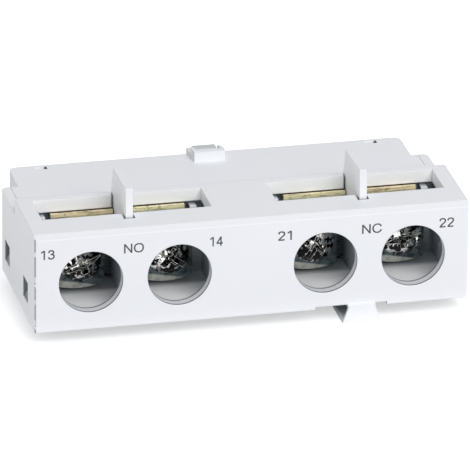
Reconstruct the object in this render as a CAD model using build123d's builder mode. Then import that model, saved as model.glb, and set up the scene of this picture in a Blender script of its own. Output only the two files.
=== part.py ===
from build123d import *
import math
import os

# Clip-on auxiliary contact block with one normally open and one normally closed contact.
# X runs along the length, Y to the back and Z up, in millimetres. The origin lies on the
# rear seat, at mid length and at the height of the terminal screws.
# A setback is a distance behind the front face, and a drop is one below the raised top.

os.makedirs("parts", exist_ok=True)

# Overall form
body_length = 45.0
front_height = 10.55
screw_drop = 5.4
raised_top_setback = 10.1
body_setback = 17.3
seat_setback = 22.3
ledge_drop = 1.75
shoulder_inset = 1.75
front_edge_chamfer = 0.5
outer_edge_radius = 0.25
shoulder_corner_radius = 0.6
tongue_corner_radius = 0.8

# Walls and the clearance between the two mouldings
front_wall = 1.2
top_wall = 1.35
end_wall = 1.0
cover_floor = 1.0
housing_floor = 0.55
ledge_roof = 1.0
step_gap = 0.1
seat_wall = 1.0
tongue_side_wall = 1.1
part_gap = 0.02

# Terminal chambers
middle_width = 6.75
chamber_side_wall = 0.575
chamber_rib = 0.325
chamber_rib_drop = 2.8
slot_undercut = 0.3
recess_wall = 0.2
recess_rib_width = 0.7
recess_rib_inset = 0.55
recess_rib_drop = 1.75
driver_hole_radius = 3.3
wire_slot_front = 4.2
wire_slot_back = 9.1

# Insulating fins
fin_thickness = 0.75
fin_height = 3.1
fin_back_drop = 0.25
fin_front_setback = 3.0
fin_top_front_setback = 3.15
fin_top_back_setback = 9.2
fin_foot_setback = 11.0
notch_side_gap = 0.2
notch_front_gap = 0.2

# Terminal screws, M3
screw_radius = 1.47
screw_head_radius = 2.15
screw_head_dome = 0.9
screw_head_rim = 0.85
screw_pitch = 0.5
screw_turns = 3.0
thread_clearance = 0.05
screw_lead_in = 0.3
slot_width = 0.7
slot_depth = 1.0
cross_span = 2.7
cross_depth = 1.5
cross_floor_span = 1.4
cross_floor_width = 0.4
screw_angles = (24.0, -38.0, 63.0, 12.0)

# Clamp washers
washer_setback = 6.1
washer_thickness = 0.9
washer_width = 5.3
washer_top_reach = 3.1
washer_bottom_reach = 3.27
washer_bottom_crown = 0.5
washer_corner_radius = 0.3
washer_hole_clearance = 0.2
clamp_clearance = 0.1

# Terminal plates and their contacts, folded from one sheet
sheet = 0.8
plate_top_drop = 1.45
plate_bottom_drop = 8.4
plate_beyond_screw = 2.39
plate_inner_gap = 0.1
pocket_gap = 0.05
contact_radius = 0.6
contact_thickness = 0.5
contact_spacing = 4.0
contact_drop = 5.65
closed_gap = 0.05
foot_width = 1.4
foot_top_drop = 4.4

# Contact bridges, cages and springs
stroke = 1.4
bridge_length = 5.2
bridge_height = 2.2
bridge_thickness = 0.5
cage_width = 2.2
cage_wall = 0.85
cage_room = 2.75
cage_window_height = 2.6
crossbar_thickness = 1.2
crossbar_depth = 2.6
crossbar_clearance = 0.15
bridge_side_gap = 0.25
contact_spring_radius = 0.7
contact_spring_wire_radius = 0.12
contact_spring_turns = 3.0
return_spring_radius = 0.95
return_spring_wire_radius = 0.15
return_spring_turns = 6.0
return_spring_length = 7.4
bore_clearance = 0.2
spring_seat_gap = 0.02

# Actuator tip and its guide
arm_width = 2.4
tip_rise = 0.5
tip_length = 1.1
tip_overhang = 1.0
tip_edge_radius = 0.2
guide_wall = 0.35
guide_side_gap = 0.1
guide_front_wall = 0.85
guide_rise = 1.05
guide_back_rise = 0.7
guide_edge_radius = 0.2
guide_flare = 0.35
rail_width = 1.2
rail_inset = 2.275
rail_clearance = 0.08

# Snap windows and lugs
window_length = 2.3
window_height = 2.3
window_drop = 6.55
front_window_setback = 3.5
back_window_setback = 12.85
lug_reach = 0.9
lug_rise = 1.3
lug_flat = 0.4
lug_tail = 0.15
lug_gap = 0.1
moulding_pocket_width = 1.25
moulding_pocket_length = 0.6
moulding_pocket_depth = 0.6
moulding_pocket_inset = 3.27
moulding_pocket_margin = 0.45

# Hook under the front edge
hook_from_fin = 0.775
hook_top_width = 2.85
hook_bottom_width = 4.05
hook_drop = 1.55
hook_length = 5.4
hook_lead = 0.4
hook_nose = 0.5
hook_wall = 0.35
relief_left_reach = 4.8
relief_right_reach = 2.7
relief_height = 0.3

# How close an edge lies to the place it is looked for
same_place = 0.01

# Levels and planes that follow from the sizes above
half_length = body_length / 2
top_z = screw_drop
bottom_z = top_z - front_height
ledge_z = top_z - ledge_drop
front_y = -seat_setback
inner_half_length = half_length - end_wall - part_gap
tongue_half_length = half_length - shoulder_inset
housing_bottom_z = bottom_z + cover_floor + part_gap
chamber_floor_z = housing_bottom_z + housing_floor
cavity_roof_z = ledge_z - ledge_roof
cavity_back_setback = seat_setback - seat_wall
cavity_half_length = tongue_half_length - tongue_side_wall
chamber_front_setback = front_wall + part_gap
washer_travel = screw_pitch * screw_turns
plate_setback = washer_setback + washer_thickness + washer_travel + clamp_clearance
plate_back_setback = plate_setback + sheet
contact_z = top_z - contact_drop

# Fins, one in the middle of each pair of chambers
fin_half = fin_thickness / 2
chamber_reach = (inner_half_length - chamber_side_wall - middle_width / 2) / 2
fin_offset = middle_width / 2 + chamber_reach
fins = (-fin_offset, fin_offset)
terminal_offset = (fin_half + chamber_reach) / 2
plate_outer_reach = terminal_offset + plate_beyond_screw
hook_x = fin_offset - hook_from_fin

# Terminals by number: its fin, its side of that fin and the angle of its screw slot
terminals = {
    "13": (fins[0], -1, screw_angles[0]),
    "14": (fins[0], 1, screw_angles[1]),
    "21": (fins[1], -1, screw_angles[2]),
    "22": (fins[1], 1, screw_angles[3]),
}

# Setbacks of the contact gear, from the plates backwards
open_fixed_face = plate_back_setback + contact_thickness
open_moving_face = open_fixed_face + stroke + closed_gap
open_bridge_front = open_moving_face + contact_thickness
cage_front_inner = open_bridge_front
cage_front = cage_front_inner - cage_wall
cage_back_inner = cage_front_inner + cage_room
cage_back = cage_back_inner + cage_wall
crossbar_front = cage_back - crossbar_depth
closed_bridge_front = cage_back_inner - bridge_thickness
closed_moving_face = cage_back_inner + contact_thickness
closed_fixed_face = closed_moving_face + closed_gap
foot_front = closed_fixed_face + contact_thickness
foot_back = foot_front + sheet
crossbar_top_z = cavity_roof_z - crossbar_clearance
crossbar_bottom_z = crossbar_top_z - crossbar_thickness
cage_window_top_z = contact_z + cage_window_height / 2
cage_window_bottom_z = contact_z - cage_window_height / 2
cage_bottom_z = cage_window_bottom_z - cage_wall
crossbar_mid_z = (crossbar_top_z + crossbar_bottom_z) / 2
opening_half_width = bridge_length / 2 + bridge_side_gap
contact_wall_back = crossbar_front - stroke - crossbar_clearance
return_spring_seat = crossbar_front - return_spring_length
tip_back_setback = seat_setback + tip_overhang
tip_front_setback = tip_back_setback - tip_length
guide_back_wall_setback = tip_front_setback - stroke - closed_gap
guide_front_setback = guide_back_wall_setback - guide_front_wall
tip_top_z = ledge_z + tip_rise
guide_top_z = ledge_z + guide_rise
guide_back_z = ledge_z + guide_back_rise
arm_gap_half_width = arm_width / 2 + guide_side_gap


def y_at(setback):
    """Y of a plane that lies this far behind the front face."""
    return front_y + setback


def facing_front(setback):
    """Plane that faces the front: X is right, Y is up, and a negative extrusion goes back."""
    return Plane.XZ.offset(-y_at(setback))


def terminal_x(number):
    fin_x, side, _ = terminals[number]
    return fin_x + side * terminal_offset


def span_from_fin(number, near, far):
    """Two X places on a terminal's side of its fin, the lower one first."""
    fin_x, side, _ = terminals[number]
    return sorted((fin_x + side * near, fin_x + side * far))


def slab(x_range, setback_range, z_range, mode=Mode.ADD):
    """Rectangular solid between two corners, for the part in hand."""
    y_range = [y_at(setback) for setback in setback_range]
    size = [high - low for low, high in (x_range, y_range, z_range)]
    centre = [(high + low) / 2 for low, high in (x_range, y_range, z_range)]
    with Locations(tuple(centre)):
        Box(*size, mode=mode)


def side_profile(points):
    """Closed outline in setbacks and heights, for a sketch on a plane across the length."""
    Polygon(*[(y_at(setback), z) for setback, z in points], align=None)


def export(builder, label):
    builder.part.label = label
    export_step(builder.part, f"parts/{label}.step")


def edges_along_x_at(builder, setback, z):
    """Edges parallel to X at a setback and a height."""
    return builder.edges().filter_by(Axis.X).filter_by(
        lambda edge: abs(edge.center().Y - y_at(setback)) < same_place and abs(edge.center().Z - z) < same_place
    )


# Front cover
with BuildPart() as front_cover:
    with BuildSketch(Plane.YZ):
        side_profile([
            (0, bottom_z),
            (0, top_z),
            (raised_top_setback, top_z),
            (raised_top_setback, ledge_z),
            (body_setback, ledge_z),
            (body_setback, bottom_z),
        ])
    extrude(amount=half_length, both=True)
    chamfer(edges_along_x_at(front_cover, 0, top_z), length=front_edge_chamfer)
    rear_corners = front_cover.edges().filter_by(Axis.Z).group_by(Axis.Y)[-1]
    fillet(rear_corners, radius=shoulder_corner_radius)
    front_corners = front_cover.edges().filter_by(Axis.Z).group_by(Axis.Y)[0]
    fillet(front_corners, radius=outer_edge_radius)

    # Hollow that the rear housing fills
    inner_top_z = top_z - top_wall
    inner_bottom_z = bottom_z + cover_floor
    open_setback = body_setback + end_wall
    open_z = ledge_z + end_wall
    with BuildSketch(Plane.YZ):
        side_profile([
            (front_wall, inner_bottom_z),
            (front_wall, inner_top_z),
            (raised_top_setback, inner_top_z),
            (raised_top_setback, open_z),
            (open_setback, open_z),
            (open_setback, inner_bottom_z),
        ])
    extrude(amount=half_length - end_wall, both=True, mode=Mode.SUBTRACT)

    # Holes for the screwdriver
    with BuildSketch(facing_front(0)):
        with Locations(*[(terminal_x(number), 0) for number in terminals]):
            Circle(driver_hole_radius)
    extrude(amount=-front_wall, mode=Mode.SUBTRACT)

    # Wire slots, with the notch that lets each fin through
    notch_half_width = fin_half + notch_side_gap
    for fin_x in fins:
        slab((fin_x - chamber_reach, fin_x + chamber_reach), (wire_slot_front, wire_slot_back),
             (inner_top_z, top_z), Mode.SUBTRACT)
        slab((fin_x - notch_half_width, fin_x + notch_half_width),
             (fin_front_setback - notch_front_gap, raised_top_setback), (inner_top_z, top_z), Mode.SUBTRACT)

    # Snap windows in both end walls
    window_z = (top_z - window_drop - window_height, top_z - window_drop)
    for setback in (front_window_setback, back_window_setback):
        slab((-half_length, half_length), (setback, setback + window_length), window_z, Mode.SUBTRACT)

    # Relief in the lower front edge, and the hook under it
    slab((hook_x - relief_left_reach, hook_x + relief_right_reach), (0, front_wall),
         (bottom_z, bottom_z + relief_height), Mode.SUBTRACT)
    hook_bottom_z = bottom_z - hook_drop
    with BuildSketch(facing_front(-hook_lead)):
        with BuildLine():
            Polyline(
                (hook_x - hook_top_width / 2, bottom_z + relief_height),
                (hook_x + hook_top_width / 2, bottom_z + relief_height),
                (hook_x + hook_top_width / 2, bottom_z),
                (hook_x + hook_bottom_width / 2, hook_bottom_z),
                (hook_x - hook_bottom_width / 2, hook_bottom_z),
                (hook_x - hook_top_width / 2, bottom_z),
                close=True,
            )
        make_face()
    extrude(amount=-hook_length)
    hook_tail = front_cover.edges().filter_by(Axis.X).group_by(Axis.Z)[0].sort_by(Axis.Y)[-1]
    chamfer(hook_tail, length=hook_nose)
    hook_hollow_x = (hook_x - hook_bottom_width / 2, hook_x + hook_top_width / 2 - hook_wall)
    hook_hollow_setback = (hook_wall - hook_lead, hook_length - hook_lead - hook_nose - hook_wall)
    slab(hook_hollow_x, hook_hollow_setback, (hook_bottom_z + hook_wall, bottom_z), Mode.SUBTRACT)
export(front_cover, "front_cover")

# Rear housing
housing_step_z = inner_top_z - step_gap
with BuildPart() as rear_housing:
    with BuildSketch(Plane.YZ):
        side_profile([
            (chamber_front_setback, housing_bottom_z),
            (chamber_front_setback, housing_step_z),
            (raised_top_setback + part_gap, housing_step_z),
            (raised_top_setback + part_gap, ledge_z),
            (body_setback, ledge_z),
            (body_setback, housing_bottom_z),
        ])
    extrude(amount=inner_half_length, both=True)

    # Tongue with rounded back corners
    slab((-tongue_half_length, tongue_half_length), (raised_top_setback + part_gap, seat_setback),
         (housing_bottom_z, ledge_z))
    seat_corners = rear_housing.edges().filter_by(Axis.Z).group_by(Axis.Y)[-1]
    fillet(seat_corners, radius=tongue_corner_radius)

    # Guide round the actuator tip, on the tongue
    guide_half_width = arm_gap_half_width + guide_wall
    with BuildSketch(Plane.YZ):
        side_profile([
            (guide_front_setback, cavity_roof_z),
            (guide_front_setback, guide_top_z),
            (guide_back_wall_setback, guide_top_z),
            (seat_setback, guide_back_z),
            (seat_setback, cavity_roof_z),
        ])
    extrude(amount=guide_half_width, both=True)
    fillet(edges_along_x_at(rear_housing, guide_front_setback, guide_top_z), radius=guide_edge_radius)
    with BuildSketch(Plane.XY.offset(cavity_roof_z)):
        Polygon(
            (-guide_half_width, y_at(guide_front_setback)),
            (-guide_half_width - guide_flare, y_at(seat_setback)),
            (-guide_half_width, y_at(seat_setback)),
            align=None,
        )
    extrude(amount=guide_back_z - cavity_roof_z)

    # Terminal chambers, open to the front and the top
    for number in terminals:
        chamber_x = span_from_fin(number, fin_half + chamber_rib, chamber_reach)
        slab(chamber_x, (0, plate_setback - pocket_gap), (chamber_floor_z, top_z), Mode.SUBTRACT)
        upper_z = (top_z - chamber_rib_drop, top_z)
        upper_x = span_from_fin(number, fin_half, chamber_reach)
        slab(upper_x, (0, plate_back_setback + pocket_gap), upper_z, Mode.SUBTRACT)
        pocket_x = span_from_fin(number, fin_half + plate_inner_gap - pocket_gap, plate_outer_reach + pocket_gap)
        slab(pocket_x, (plate_setback - pocket_gap, plate_back_setback + pocket_gap),
             (chamber_floor_z, top_z), Mode.SUBTRACT)

        # Recess beyond the plate, wider than the wire slot, with a rib that stops the plate
        recess_back = raised_top_setback - recess_wall
        recess_x = span_from_fin(number, plate_outer_reach, chamber_reach + slot_undercut)
        slab(recess_x, (wire_slot_front, recess_back), upper_z, Mode.SUBTRACT)
        rib_end = chamber_reach - recess_rib_inset
        rib_x = span_from_fin(number, rib_end - recess_rib_width, rib_end)
        slab(rib_x, (plate_setback, recess_back), (upper_z[0], top_z - recess_rib_drop))

    # Hollow behind the chambers, with the openings into it
    slab((-cavity_half_length, cavity_half_length), (contact_wall_back, cavity_back_setback),
         (chamber_floor_z, cavity_roof_z), Mode.SUBTRACT)
    for fin_x in fins:
        slab((fin_x - opening_half_width, fin_x + opening_half_width), (plate_back_setback, contact_wall_back),
             (chamber_floor_z, cavity_roof_z), Mode.SUBTRACT)
    with BuildSketch(facing_front(plate_back_setback)):
        with Locations(*[(terminal_x(number), 0) for number in terminals]):
            Circle(screw_radius + bore_clearance)
    extrude(amount=-(contact_wall_back - plate_back_setback), mode=Mode.SUBTRACT)

    # Blind bore of the return spring
    with BuildSketch(facing_front(return_spring_seat)):
        with Locations((0, crossbar_mid_z)):
            Circle(return_spring_radius + return_spring_wire_radius + bore_clearance)
    extrude(amount=-return_spring_length, mode=Mode.SUBTRACT)

    # Way out for the arm and the tip
    slab((-arm_gap_half_width, arm_gap_half_width), (guide_back_wall_setback, seat_setback + seat_wall),
         (crossbar_bottom_z - guide_side_gap, guide_top_z + guide_rise), Mode.SUBTRACT)

    # Rails that carry the crossbar from below, and ribs either side of the arm
    for side in (-1, 1):
        rail_outer = fin_offset - opening_half_width - rail_inset
        rail_x = sorted((side * (rail_outer - rail_width), side * rail_outer))
        slab(rail_x, (contact_wall_back, cage_back + rail_width), (chamber_floor_z, crossbar_bottom_z - rail_clearance))
        rib_x = sorted((side * arm_gap_half_width, side * (arm_gap_half_width + rail_width)))
        slab(rib_x, (cage_back + stroke / 2, cavity_back_setback), (crossbar_bottom_z, cavity_roof_z))

    # Insulating fins, from the wall between two chambers up through the cover
    for fin_x in fins:
        with BuildSketch(Plane.YZ.offset(fin_x - fin_half)):
            side_profile([
                (fin_front_setback, housing_step_z - top_wall),
                (fin_front_setback, top_z),
                (fin_top_front_setback, top_z + fin_height),
                (fin_top_back_setback, top_z + fin_height - fin_back_drop),
                (raised_top_setback, top_z),
                (fin_foot_setback, ledge_z),
                (plate_setback, housing_step_z - top_wall),
            ])
        extrude(amount=fin_thickness)

    # Snap lugs that slope up to the front, each in an opening in the side wall
    lug_bottom = window_z[0] + lug_gap
    for setback in (front_window_setback, back_window_setback):
        lug_front = setback + lug_gap
        lug_back = setback + window_length - lug_gap
        for side in (-1, 1):
            opening_x = sorted((side * cavity_half_length, side * inner_half_length))
            slab(opening_x, (setback, setback + window_length), window_z, Mode.SUBTRACT)
            with BuildSketch(Plane.YZ.offset(side * (inner_half_length - chamber_side_wall))):
                side_profile([
                    (lug_front, lug_bottom - lug_gap),
                    (lug_front, lug_bottom + lug_rise),
                    (lug_front + lug_flat, lug_bottom + lug_rise),
                    (lug_back, lug_bottom + lug_tail),
                    (lug_back, lug_bottom - lug_gap),
                ])
            extrude(amount=side * chamber_side_wall)
            with BuildSketch(Plane.YZ.offset(side * inner_half_length)):
                side_profile([
                    (lug_front, lug_bottom),
                    (lug_front, lug_bottom + lug_rise),
                    (lug_front + lug_flat, lug_bottom + lug_rise),
                    (lug_back, lug_bottom + lug_tail),
                    (lug_back, lug_bottom),
                ])
            extrude(amount=side * lug_reach)

    # Small moulding pockets near the back corners
    pocket_back = seat_setback - moulding_pocket_margin
    for side in (-1, 1):
        centre_x = side * (tongue_half_length - moulding_pocket_inset)
        slab((centre_x - moulding_pocket_width / 2, centre_x + moulding_pocket_width / 2),
             (pocket_back - moulding_pocket_length, pocket_back), (ledge_z - moulding_pocket_depth, ledge_z),
             Mode.SUBTRACT)
export(rear_housing, "rear_housing")


def make_terminal_plate(number):
    """Tapped plate of one terminal. The normally closed ones fold back to a foot."""
    plate_x = span_from_fin(number, fin_half + plate_inner_gap, plate_outer_reach)
    plate_z = (top_z - plate_bottom_drop, top_z - plate_top_drop)
    tapped_radius = screw_radius + thread_clearance
    with BuildPart() as plate:
        slab(plate_x, (plate_setback, plate_back_setback), plate_z)
        if number in ("21", "22"):
            fin_x, side, _ = terminals[number]
            foot_x = fin_x + side * contact_spacing / 2
            foot_span = (foot_x - foot_width / 2, foot_x + foot_width / 2)
            slab(foot_span, (plate_setback, foot_back), (plate_z[0], plate_z[0] + sheet))
            slab(foot_span, (foot_front, foot_back), (plate_z[0], top_z - foot_top_drop))
        with BuildSketch(facing_front(plate_setback)):
            with Locations((terminal_x(number), 0)):
                Circle(tapped_radius)
        extrude(amount=-sheet, mode=Mode.SUBTRACT)
    return plate


def make_fixed_contact(number):
    """Silver tip, on the back of an open pair's plate or on the front of a closed pair's foot."""
    fin_x, side, _ = terminals[number]
    face = plate_back_setback if number in ("13", "14") else closed_fixed_face
    with BuildPart() as contact:
        with BuildSketch(facing_front(face)):
            with Locations((fin_x + side * contact_spacing / 2, contact_z)):
                Circle(contact_radius)
        extrude(amount=-contact_thickness)
    return contact


def make_clamp_washer(number):
    """Square washer with a crowned lower edge, held captive on its screw."""
    centre_x = terminal_x(number)
    left = centre_x - washer_width / 2
    right = centre_x + washer_width / 2
    shoulder_z = washer_bottom_crown - washer_bottom_reach
    with BuildPart() as washer:
        with BuildSketch(facing_front(washer_setback)):
            with BuildLine():
                Polyline((right, shoulder_z), (right, washer_top_reach), (left, washer_top_reach), (left, shoulder_z))
                ThreePointArc((left, shoulder_z), (centre_x, -washer_bottom_reach), (right, shoulder_z))
            make_face()
        extrude(amount=-washer_thickness)
        fillet(washer.edges().filter_by(Axis.Y), radius=washer_corner_radius)
        with BuildSketch(facing_front(washer_setback)):
            with Locations((centre_x, 0)):
                Circle(screw_radius + washer_hole_clearance)
        extrude(amount=-washer_thickness, mode=Mode.SUBTRACT)
    return washer


def make_terminal_screw(number):
    """Pan head screw with a combined slot and cross recess, its axis along Y."""
    centre_x = terminal_x(number)
    angle = terminals[number][2]
    rim_setback = washer_setback - screw_head_rim
    apex_setback = rim_setback - screw_head_dome
    lead_setback = plate_back_setback - screw_lead_in
    axis = Axis((centre_x, 0, 0), (0, 1, 0))
    dome_radius = (screw_head_radius**2 + screw_head_dome**2) / (2 * screw_head_dome)
    dome_mid_x = screw_head_radius / 2
    dome_mid_rise = dome_radius - math.sqrt(dome_radius**2 - dome_mid_x**2)
    with BuildPart() as screw:
        with BuildSketch(Plane.XY):
            with BuildLine():
                ThreePointArc(
                    (centre_x, y_at(apex_setback)),
                    (centre_x + dome_mid_x, y_at(apex_setback + dome_mid_rise)),
                    (centre_x + screw_head_radius, y_at(rim_setback)),
                )
                Polyline(
                    (centre_x + screw_head_radius, y_at(rim_setback)),
                    (centre_x + screw_head_radius, y_at(washer_setback)),
                    (centre_x + screw_radius, y_at(washer_setback)),
                    (centre_x + screw_radius, y_at(lead_setback)),
                    (centre_x + screw_radius - screw_lead_in, y_at(plate_back_setback)),
                    (centre_x, y_at(plate_back_setback)),
                    (centre_x, y_at(apex_setback)),
                )
            make_face()
        revolve(axis=axis)
        with BuildSketch(facing_front(apex_setback)):
            with Locations((centre_x, 0)):
                Rectangle(2 * screw_head_radius, slot_width, rotation=angle)
        extrude(amount=-slot_depth, mode=Mode.SUBTRACT)
        for turn in (angle, angle + 90):
            with BuildSketch(facing_front(apex_setback)):
                with Locations((centre_x, 0)):
                    Rectangle(cross_span, slot_width, rotation=turn)
            with BuildSketch(facing_front(apex_setback + cross_depth)):
                with Locations((centre_x, 0)):
                    Rectangle(cross_floor_span, cross_floor_width, rotation=turn)
            loft(mode=Mode.SUBTRACT)
    return screw


for number in terminals:
    export(make_terminal_plate(number), f"terminal_plate_{number}")
    export(make_fixed_contact(number), f"fixed_contact_{number}")
    export(make_clamp_washer(number), f"clamp_washer_{number}")
    export(make_terminal_screw(number), f"terminal_screw_{number}")


def make_bridge(fin_x, front_setback):
    """Flat copper bar that joins two contacts."""
    with BuildPart() as bridge:
        with BuildSketch(facing_front(front_setback)):
            with Locations((fin_x, contact_z)):
                RectangleRounded(bridge_length, bridge_height, bridge_thickness)
        extrude(amount=-bridge_thickness)
    return bridge


def make_moving_contacts(fin_x, front_setback):
    """Both silver tips of one bridge."""
    with BuildPart() as tips:
        with BuildSketch(facing_front(front_setback)):
            with Locations((fin_x, contact_z)):
                with GridLocations(contact_spacing, 0, 2, 1):
                    Circle(contact_radius)
        extrude(amount=-contact_thickness)
    return tips


def make_spring(centre_x, centre_z, start_setback, end_setback, radius, wire_radius, turns):
    """Compression spring along Y between two seats."""
    free_end = wire_radius + spring_seat_gap
    length = end_setback - start_setback - 2 * free_end
    with BuildPart() as spring:
        with BuildLine() as wire_path:
            Helix(
                pitch=length / turns,
                height=length,
                radius=radius,
                center=(centre_x, y_at(start_setback + free_end), centre_z),
                direction=(0, 1, 0),
            )
        with BuildSketch(Plane(wire_path.line @ 0, z_dir=wire_path.line % 0)):
            Circle(wire_radius)
        sweep(is_frenet=True)
    return spring


contact_spring_size = (contact_spring_radius, contact_spring_wire_radius, contact_spring_turns)
export(make_bridge(fins[0], open_bridge_front), "contact_bridge_open")
export(make_moving_contacts(fins[0], open_moving_face), "moving_contacts_open")
export(
    make_spring(fins[0], contact_z, open_bridge_front + bridge_thickness, cage_back_inner, *contact_spring_size),
    "contact_spring_open",
)
export(make_bridge(fins[1], closed_bridge_front), "contact_bridge_closed")
export(make_moving_contacts(fins[1], cage_back_inner), "moving_contacts_closed")
export(
    make_spring(fins[1], contact_z, cage_front_inner, closed_bridge_front, *contact_spring_size),
    "contact_spring_closed",
)
return_spring_size = (return_spring_radius, return_spring_wire_radius, return_spring_turns)
export(
    make_spring(0, crossbar_mid_z, return_spring_seat, crossbar_front, *return_spring_size),
    "return_spring",
)

# Actuator slider: crossbar, one cage for each bridge, and the arm with its tip
with BuildPart() as actuator_slider:
    crossbar_half = fins[1] + cage_width / 2
    slab((-crossbar_half, crossbar_half), (crossbar_front, cage_back), (crossbar_bottom_z, crossbar_top_z))
    for fin_x in fins:
        cage_x = (fin_x - cage_width / 2, fin_x + cage_width / 2)
        slab(cage_x, (cage_front, cage_back), (cage_bottom_z, crossbar_top_z))
        slab(cage_x, (cage_front_inner, cage_back_inner), (cage_window_bottom_z, cage_window_top_z), Mode.SUBTRACT)
    arm_x = (-arm_width / 2, arm_width / 2)
    slab(arm_x, (crossbar_front, tip_back_setback), (crossbar_bottom_z, crossbar_top_z))
    slab(arm_x, (tip_front_setback, tip_back_setback), (crossbar_bottom_z, tip_top_z))
    fillet(actuator_slider.edges().filter_by(Axis.X).group_by(Axis.Z)[-1], radius=tip_edge_radius)
export(actuator_slider, "actuator_slider")
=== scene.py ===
import math

import bmesh
import bpy
from mathutils import Matrix, Vector


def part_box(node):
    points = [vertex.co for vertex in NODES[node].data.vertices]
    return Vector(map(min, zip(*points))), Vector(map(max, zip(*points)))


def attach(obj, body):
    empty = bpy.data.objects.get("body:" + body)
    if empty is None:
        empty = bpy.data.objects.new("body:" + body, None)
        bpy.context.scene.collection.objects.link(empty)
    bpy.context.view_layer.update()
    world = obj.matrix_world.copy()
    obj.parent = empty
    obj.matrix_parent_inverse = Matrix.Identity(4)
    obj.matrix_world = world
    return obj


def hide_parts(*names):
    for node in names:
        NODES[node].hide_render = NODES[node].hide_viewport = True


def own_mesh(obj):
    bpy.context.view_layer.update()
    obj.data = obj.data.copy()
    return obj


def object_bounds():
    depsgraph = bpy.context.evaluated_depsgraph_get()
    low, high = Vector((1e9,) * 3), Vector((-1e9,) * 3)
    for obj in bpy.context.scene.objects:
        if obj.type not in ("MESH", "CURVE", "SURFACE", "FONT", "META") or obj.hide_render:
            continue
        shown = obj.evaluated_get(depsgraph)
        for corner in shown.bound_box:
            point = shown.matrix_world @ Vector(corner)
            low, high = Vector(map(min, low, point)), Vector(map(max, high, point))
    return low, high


bl_info = {
    "name": "Auxiliary contact block",
    "version": (1, 0, 0),
    "blender": (4, 5, 0),
    "location": "View3D > Sidebar > Contact block",
    "description": "Finishes, lettering, light and camera for a clip-on auxiliary contact block",
    "category": "Object",
}

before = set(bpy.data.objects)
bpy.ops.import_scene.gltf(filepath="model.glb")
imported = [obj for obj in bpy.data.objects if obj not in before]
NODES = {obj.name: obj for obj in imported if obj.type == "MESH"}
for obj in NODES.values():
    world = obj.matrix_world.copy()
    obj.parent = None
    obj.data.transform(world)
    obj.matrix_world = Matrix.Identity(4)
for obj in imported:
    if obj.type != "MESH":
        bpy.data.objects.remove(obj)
CAD_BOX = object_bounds()
TERMINALS = ("13", "14", "21", "22")
MM = 0.001

# Places on the mouldings where painted light and shade and the parting line start and end. X is from the
# middle,
# Y from the rear seat, Z from the axes of the screws, and depths are from the front face.
INNER_HALF_LENGTH = 21.2 * MM
FRONT_PLATE_THICKNESS = 1.2 * MM
HOLE_WALL_REACH = 3.32 * MM
HOLE_RIM_WIDTH = 0.22 * MM
SLOT_DEPTH = 3.0 * MM
SLOT_FOOT_Z = 3.9 * MM
TOP_EDGE = 0.05 * MM
FIN_FOOT_Z = 4.0 * MM
TONGUE_Y = -6.2 * MM
SHADED_UP_TO_Y = -2.6 * MM
CHAMBER_HALF_HEIGHT = 3.4 * MM
CHAMBER_DEPTHS = (1.3 * MM, 9.5 * MM)
CHAMBER_FLOOR_Z = -2.5 * MM
WASHER_SHADOW_DEPTHS = (5.3 * MM, 6.3 * MM)
WASHER_SHADOW_END_DEPTH = 9.0 * MM
WINDOW_X = 20.6 * MM
WINDOW_TOP_Z = 2.6 * MM
WINDOW_DEPTH = 0.5 * MM
POCKET_X = 17.48 * MM
POCKET_HALF_WIDTH = 0.7 * MM
POCKET_Y = -1.2 * MM
POCKET_HEIGHTS = (2.9 * MM, 3.6 * MM)
POCKET_SHADOW_OFFSET = 0.52 * MM
POCKET_SHADOW_Y = -0.75 * MM
POCKET_SHADOW_HALF_WIDTH = 0.13 * MM
FLASH_WIDTH = 0.13 * MM
FLASH_DEPTH = 0.17 * MM

# How much of a face's normal lies along an axis where the face counts as turned that way
TURNED = 0.7

# Tones, as shares of a part's own colour. The next three paint light: on chosen faces, as a highlight on
# edges and as bounce light on half hidden faces. The fourth paints shade on the chamfer, the fifth darkens
# the tongue ends, the sixth darkens the parting line and the last paints shade at the hole rims.
PAINTED_LIGHT = 1.25
EDGE_HIGHLIGHT = 1.22
PAINTED_BOUNCE_LIGHT = 1.2
CHAMFER_SHADE = 0.95
DARKER_END = 0.85
FLASH = 0.4
RIM_SHADE = 0.3

BUMP_HEIGHT = 0.03 * MM
WELD_DISTANCE = 0.0001 * MM


# Settings

class MouldingSettings(bpy.types.PropertyGroup):
    cover_colour: bpy.props.FloatVectorProperty(
        name="Cover", description="Colour of the front cover", subtype="COLOR", size=4,
        min=0.0, max=1.0, default=(0.80, 0.81, 0.84, 1.0))
    housing_colour: bpy.props.FloatVectorProperty(
        name="Housing", description="Colour of the rear housing", subtype="COLOR", size=4,
        min=0.0, max=1.0, default=(0.80, 0.81, 0.842, 1.0))
    slider_colour: bpy.props.FloatVectorProperty(
        name="Slider", description="Colour of the actuator slider", subtype="COLOR", size=4,
        min=0.0, max=1.0, default=(0.52, 0.55, 0.57, 1.0))
    edge_radius: bpy.props.FloatProperty(
        name="Edge radius", description="Rounding of the moulded edges", subtype="DISTANCE",
        unit="LENGTH", default=0.16 * MM, min=0.0)
    roughness: bpy.props.FloatProperty(
        name="Roughness", description="Roughness of the moulded surface", subtype="FACTOR",
        default=0.42, min=0.0, max=1.0)
    # Colour of the painted shade in deep recesses
    recess_shade_colour: bpy.props.FloatVectorProperty(
        name="Recess", description="Colour that deep recesses turn to", subtype="COLOR", size=4,
        min=0.0, max=1.0, default=(0.14, 0.18, 0.20, 1.0))
    lug_start: bpy.props.FloatProperty(
        name="Lug start", description="Distance from the middle past which the housing is only its lugs",
        subtype="DISTANCE", unit="LENGTH", default=21.47 * MM, min=0.0)
    recess_reach: bpy.props.FloatProperty(
        name="Recess reach", description="How near other walls have to be to shade a recess",
        subtype="DISTANCE", unit="LENGTH", default=4.0 * MM, min=0.0)


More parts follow.
